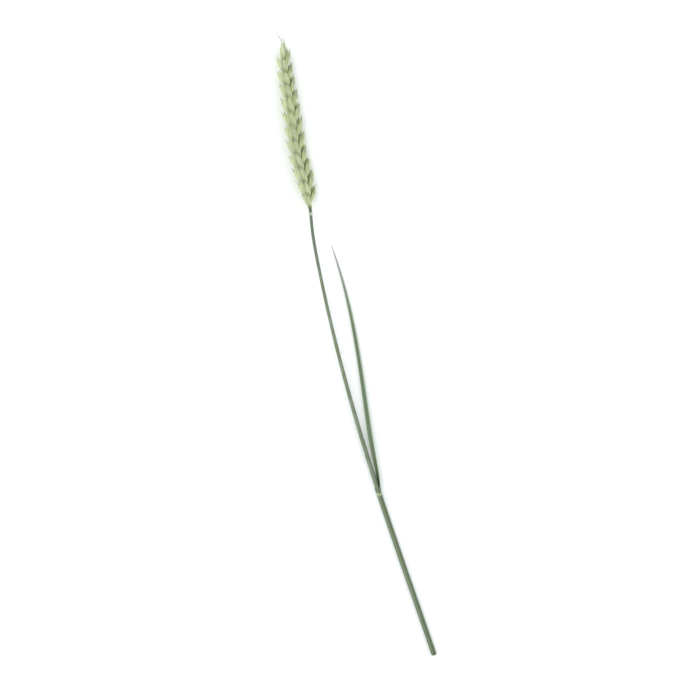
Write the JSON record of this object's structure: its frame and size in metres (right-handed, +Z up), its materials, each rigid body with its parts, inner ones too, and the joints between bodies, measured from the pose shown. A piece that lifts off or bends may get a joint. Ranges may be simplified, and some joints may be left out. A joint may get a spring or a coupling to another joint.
{
  "type": "wheat ear",
  "caption": "Green wheat ear on its straw, cut and laid on a surface, with the flag leaf's sheath round the straw and its folded blade alongside.",
  "frame": {"origin": "middle of the bounding box, on the surface the stalk lies on", "axes": "+Y from the cut end of the straw to the tip of the ear, +Z up, +X to the right seen from above"},
  "size_m": [0.0146, 0.3308, 0.0105],
  "materials": {
    "ear_green": "matt, fresh green scales",
    "straw_green": "waxy, grey-green",
    "leaf_green": "waxy, dark grey-green"
  },
  "bodies": {
    "root": {"ear": "ear_green", "culm": "straw_green", "flag_leaf": "leaf_green"}
  },
  "joints": []
}
